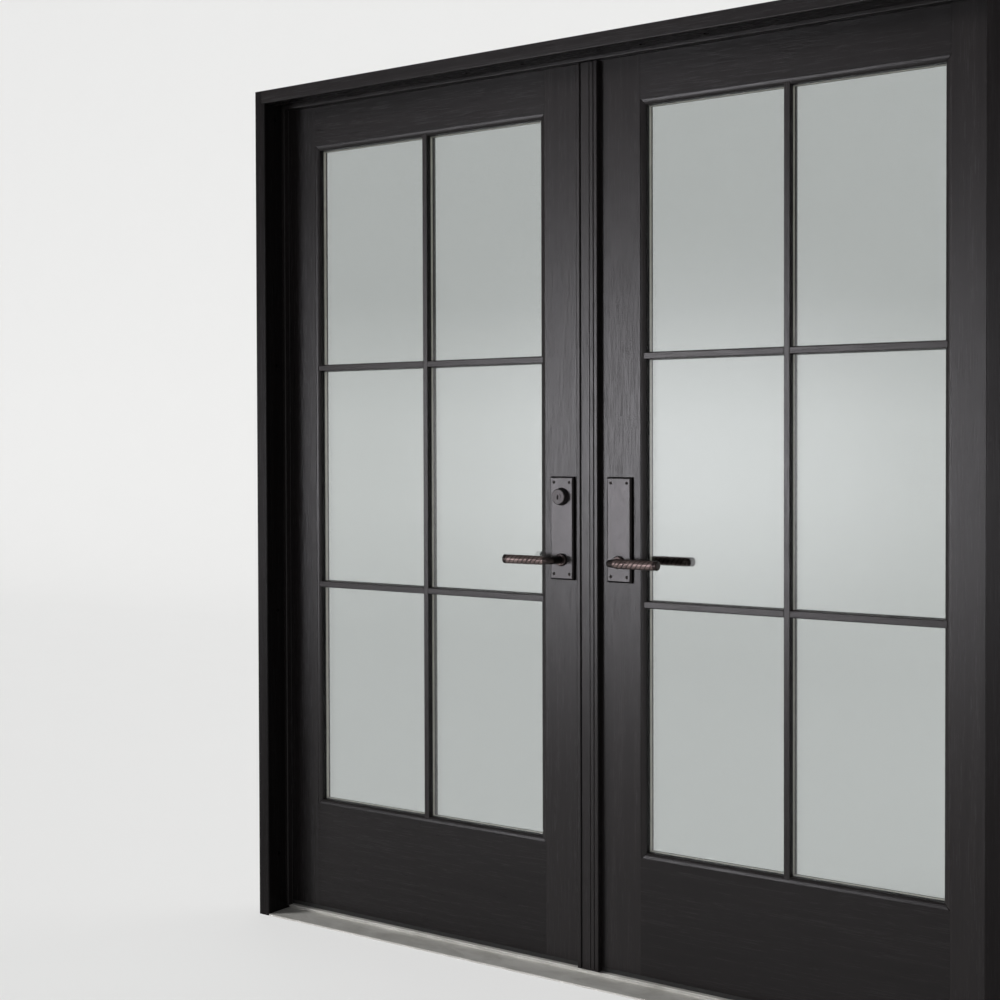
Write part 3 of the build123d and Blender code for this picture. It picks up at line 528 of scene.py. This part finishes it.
# The world. Diffuse rays get a soft sky and straight ones a plain pale background. What the satin
# lacquer and the bronze mirror is a band round the horizon, and a broad soft glow low on the left.
# Smooth glass shows only a faint part of that glow.
sky_colour, sky_strength = (0.98, 0.985, 1.0, 1), 0.24
pale_colour = (0.80, 0.80, 0.79, 1)
band_stops, band_strength = ((0.30, 0.62), (0.44, 0.95), (0.52, 0.9), (0.63, 0.22), (1.0, 0.28)), 1.1
glow_heading, glow_rise = math.radians(30.5), math.radians(-0.5)
glow_reach = Vector((0.20, 0.20, 0.15))
glow_colour, glow_strength, glow_in_glass = (0.96, 0.945, 1.0, 1), 27.5, 0.04

world = bpy.data.worlds.new("studio")
bpy.context.scene.world = world
world.use_nodes = True
w = Tree(world.node_tree)


def background(colour, strength):
    made = w.add("ShaderNodeBackground")
    w.put(made.inputs["Color"], colour)
    w.put(made.inputs["Strength"], strength)
    return made.outputs[0]


sky = w.tree.nodes["Background"]
sky.inputs["Color"].default_value = sky_colour
sky.inputs["Strength"].default_value = sky_strength
heading = w.add("ShaderNodeTexCoord").outputs["Generated"]
rise = w.add("ShaderNodeSeparateXYZ")
w.link(heading, rise.inputs[0])
lifted = w.math("MULTIPLY_ADD", rise.outputs["Z"], 1.6, 0.5)
band = w.ramp(lifted, [(place, (level, level, level * 0.99)) for place, level in band_stops])
glow_at = Vector((-math.sin(glow_heading) * math.cos(glow_rise),
                  -math.cos(glow_heading) * math.cos(glow_rise), math.sin(glow_rise)))
glow_place = w.add("ShaderNodeMapping")
glow_place.inputs["Scale"].default_value = [1 / reach for reach in glow_reach]
glow_place.inputs["Location"].default_value = [-at / reach for at, reach in zip(glow_at, glow_reach)]
w.link(heading, glow_place.inputs["Vector"])
glow_shape = w.add("ShaderNodeTexGradient", gradient_type="SPHERICAL")
w.link(glow_place.outputs[0], glow_shape.inputs["Vector"])
glow_fall = w.add("ShaderNodeMapRange", interpolation_type="SMOOTHSTEP")
w.link(glow_shape.outputs["Fac"], glow_fall.inputs["Value"])
glow_fall.inputs["To Max"].default_value = glow_strength
path = w.add("ShaderNodeLightPath").outputs
faint = w.math("MULTIPLY_ADD", path["Is Singular Ray"], glow_in_glass - 1.0, 1.0)
mirroring = w.math("MULTIPLY", faint, path["Is Glossy Ray"])
glow = background(glow_colour, w.math("MULTIPLY", glow_fall.outputs["Result"], mirroring))
both = w.add("ShaderNodeAddShader")
w.link(background(band, band_strength), both.inputs[0])
w.link(glow, both.inputs[1])
mirrored = w.math("GREATER_THAN", path["Glossy Depth"], 0.5)
shown = w.mix_shader(mirrored, background(pale_colour, 1.0), both.outputs[0])
lit = w.mix_shader(w.showing(path), sky.outputs[0], shown)
w.link(lit, w.tree.nodes["World Output"].inputs["Surface"])


def lamp(name, kind, place, towards):
    """A lamp that no reflection or glass shows."""
    data = bpy.data.lights.new(name, kind)
    made = put_in_scene(name, data)
    made.location = place
    made.rotation_euler = Vector(towards).to_track_quat("-Z", "Y").to_euler()
    made.visible_glossy = made.visible_transmission = False
    return data


key = lamp("key", "SUN", (0, 0, 0), (6.6, 5.4, -3.2))
key.energy = 3.3
key.angle = math.radians(17)
key.color = (1.0, 0.995, 0.99)
room_place, room_target = Vector((1.5, 3.6, 3.2)), Vector((0, 0, 1.0))
room = lamp("room", "AREA", room_place, room_target - room_place)
room.shape = "RECTANGLE"
room.size, room.size_y = 2.6, 2.6
room.energy = 60
room.color = (1.0, 0.99, 0.98)

# A plain pale floor that curves up into a wall behind the doors
floor_x = (-14.0, 10.0)
floor_front, curve_start, curve_r, wall_top = -7.0, 5.0, 2.0, 8.0
curve_steps = 12
floor_drop = 0.0002
floor_lift = 0.65
pale = Shader("floor_pale")
patch = pale.noise(pale.stretched((3, 3, 3)), 3.0, 0.5)
pale.finish(pale.mix(patch, (0.80, 0.80, 0.79), (0.83, 0.83, 0.82)), 0.6)
even = pale.add("ShaderNodeEmission")
even.inputs["Color"].default_value = (0.86, 0.86, 0.855, 1)
floor_seen = pale.showing(pale.add("ShaderNodeLightPath").outputs)
pale.surface(pale.mix_shader(pale.math("MULTIPLY", floor_seen, floor_lift),
                             pale.bsdf.outputs[0], even.outputs[0]))
profile = [(floor_front, 0.0), (curve_start, 0.0)]
for step in range(1, curve_steps + 1):
    angle = step * math.pi / 2 / curve_steps
    profile.append((curve_start + curve_r * math.sin(angle), curve_r - curve_r * math.cos(angle)))
profile.append((curve_start + curve_r, wall_top))
bm = bmesh.new()
bridge(bm, [[bm.verts.new((x, y, z)) for x in floor_x] for y, z in profile], closed=False)
floor = put_in_scene("floor", made_mesh("floor", bm, lambda face: True))
floor.data.materials.append(pale.mat)
floor.location.z = -floor_drop

# The camera stands outside, to the right of the doors and at chest height, turned left towards them
camera_place = (2.0684, -3.0970, 1.1758)
yaw, pitch, roll = (math.radians(angle) for angle in (36.915, -1.101, -0.17))
camera_data = bpy.data.cameras.new("camera")
camera = put_in_scene("camera", camera_data)
forward = Vector((-math.sin(yaw) * math.cos(pitch), math.cos(yaw) * math.cos(pitch), math.sin(pitch)))
right = Vector((math.cos(yaw), math.sin(yaw), 0))
up = right.cross(forward)
rolled_right = math.cos(roll) * right + math.sin(roll) * up
rolled_up = math.cos(roll) * up - math.sin(roll) * right
facing = Matrix((rolled_right, rolled_up, -forward)).transposed().to_4x4()
camera.matrix_world = Matrix.Translation(camera_place) @ facing
camera_data.sensor_width = 36.0
camera_data.lens = 61.23
camera_data.shift_x = 0.0025
camera_data.shift_y = -0.0255
bpy.context.scene.camera = camera
bpy.context.scene.view_settings.view_transform = "Standard"

bpy.context.view_layer.update()
